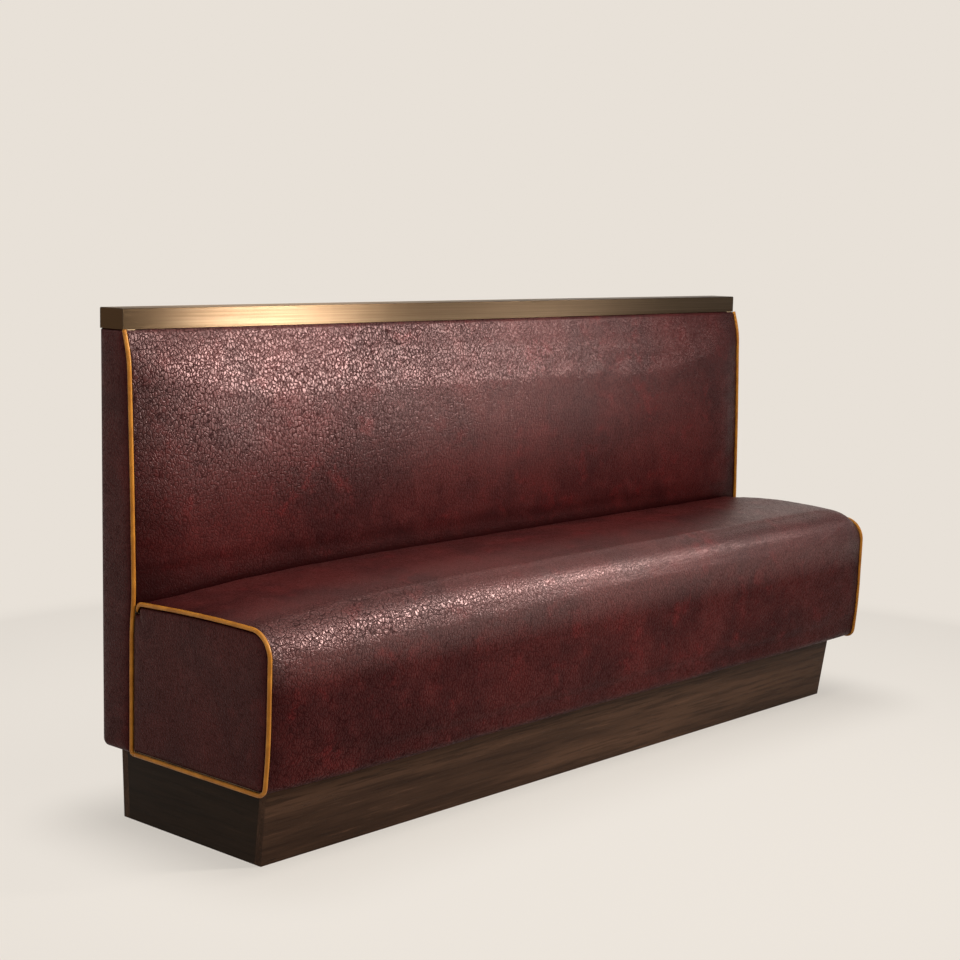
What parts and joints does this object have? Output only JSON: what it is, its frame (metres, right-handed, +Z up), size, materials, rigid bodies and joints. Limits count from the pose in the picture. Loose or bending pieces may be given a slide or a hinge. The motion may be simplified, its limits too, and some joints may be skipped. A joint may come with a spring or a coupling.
{
  "type": "booth bench",
  "caption": "Straight upholstered wall booth bench: leather seat and high back with mustard piping at the ends, brass cap rail and walnut plinth.",
  "frame": {"origin": "on the floor, under the middle of the whole booth's box", "axes": "+X along the bench towards the end on the right as seen from the front, +Y from the seat's front towards the wall behind the back, +Z up"},
  "size_m": [2.01, 0.504, 1.018],
  "materials": {
    "leather": "pebbled burgundy hide, semi-gloss, lightly worn",
    "piping": "smooth mustard leather cord",
    "brass": "satin brushed along its length",
    "dark_brass": "antique brass, patinated dark brown",
    "walnut": "dark walnut, low sheen, grain along the board",
    "plywood": "plain birch plywood, unfinished",
    "timber": "planed softwood, unfinished",
    "foam": "cut polyurethane foam",
    "webbing": "woven elastic webbing",
    "steel": "zinc plated",
    "nylon": "black moulded nylon"
  },
  "bodies": {
    "booth": {"back_battens": "timber", "back_bottom_rail": "timber", "back_cover": "leather", "back_end_board_left": "plywood", "back_end_board_right": "plywood", "back_end_cover_left": "leather", "back_end_cover_right": "leather", "back_end_foam_left": "foam", "back_end_foam_right": "foam", "back_foam": "foam", "back_front_panel": "plywood", "back_piping_left": "piping", "back_piping_right": "piping", "back_rear_panel": "plywood", "back_studs": "timber", "back_top_rail": "timber", "base_screws": "steel", "cap_core": "timber", "cap_end_left": "dark_brass", "cap_end_right": "dark_brass", "cap_rail": "brass", "cap_screws": "steel", "foot_blocks": "timber", "frame_screws": "steel", "panel_screws": "steel", "plinth_cross_members": "plywood", "plinth_end_board_left": "walnut", "plinth_end_board_right": "walnut", "plinth_front_board": "walnut", "plinth_rear_board": "walnut", "seat_base_board": "plywood", "seat_cover": "leather", "seat_end_board_left": "plywood", "seat_end_board_right": "plywood", "seat_end_cover_left": "leather", "seat_end_cover_right": "leather", "seat_end_foam_left": "foam", "seat_end_foam_right": "foam", "seat_foam": "foam", "seat_front_board": "plywood", "seat_piping_left": "piping", "seat_piping_right": "piping", "seat_rear_board": "plywood", "seat_ribs": "plywood", "seat_webbing": "webbing", "tee_nuts": "steel", "unit_bolts": "steel", "unit_washers": "steel"},
    "foot_front_left": {"foot_pad_front_left": "nylon", "foot_stem_front_left": "steel"},
    "foot_front_right": {"foot_pad_front_right": "nylon", "foot_stem_front_right": "steel"},
    "foot_rear_left": {"foot_pad_rear_left": "nylon", "foot_stem_rear_left": "steel"},
    "foot_rear_right": {"foot_pad_rear_right": "nylon", "foot_stem_rear_right": "steel"}
  },
  "joints": [
    {"name": "foot_front_left_height", "type": "slide", "parent": "booth", "child": "foot_front_left", "axis": [0, 0, -1], "range_m": [0, 0.012]},
    {"name": "foot_front_right_height", "type": "slide", "parent": "booth", "child": "foot_front_right", "axis": [0, 0, -1], "range_m": [0, 0.012]},
    {"name": "foot_rear_left_height", "type": "slide", "parent": "booth", "child": "foot_rear_left", "axis": [0, 0, -1], "range_m": [0, 0.012]},
    {"name": "foot_rear_right_height", "type": "slide", "parent": "booth", "child": "foot_rear_right", "axis": [0, 0, -1], "range_m": [0, 0.012]}
  ]
}
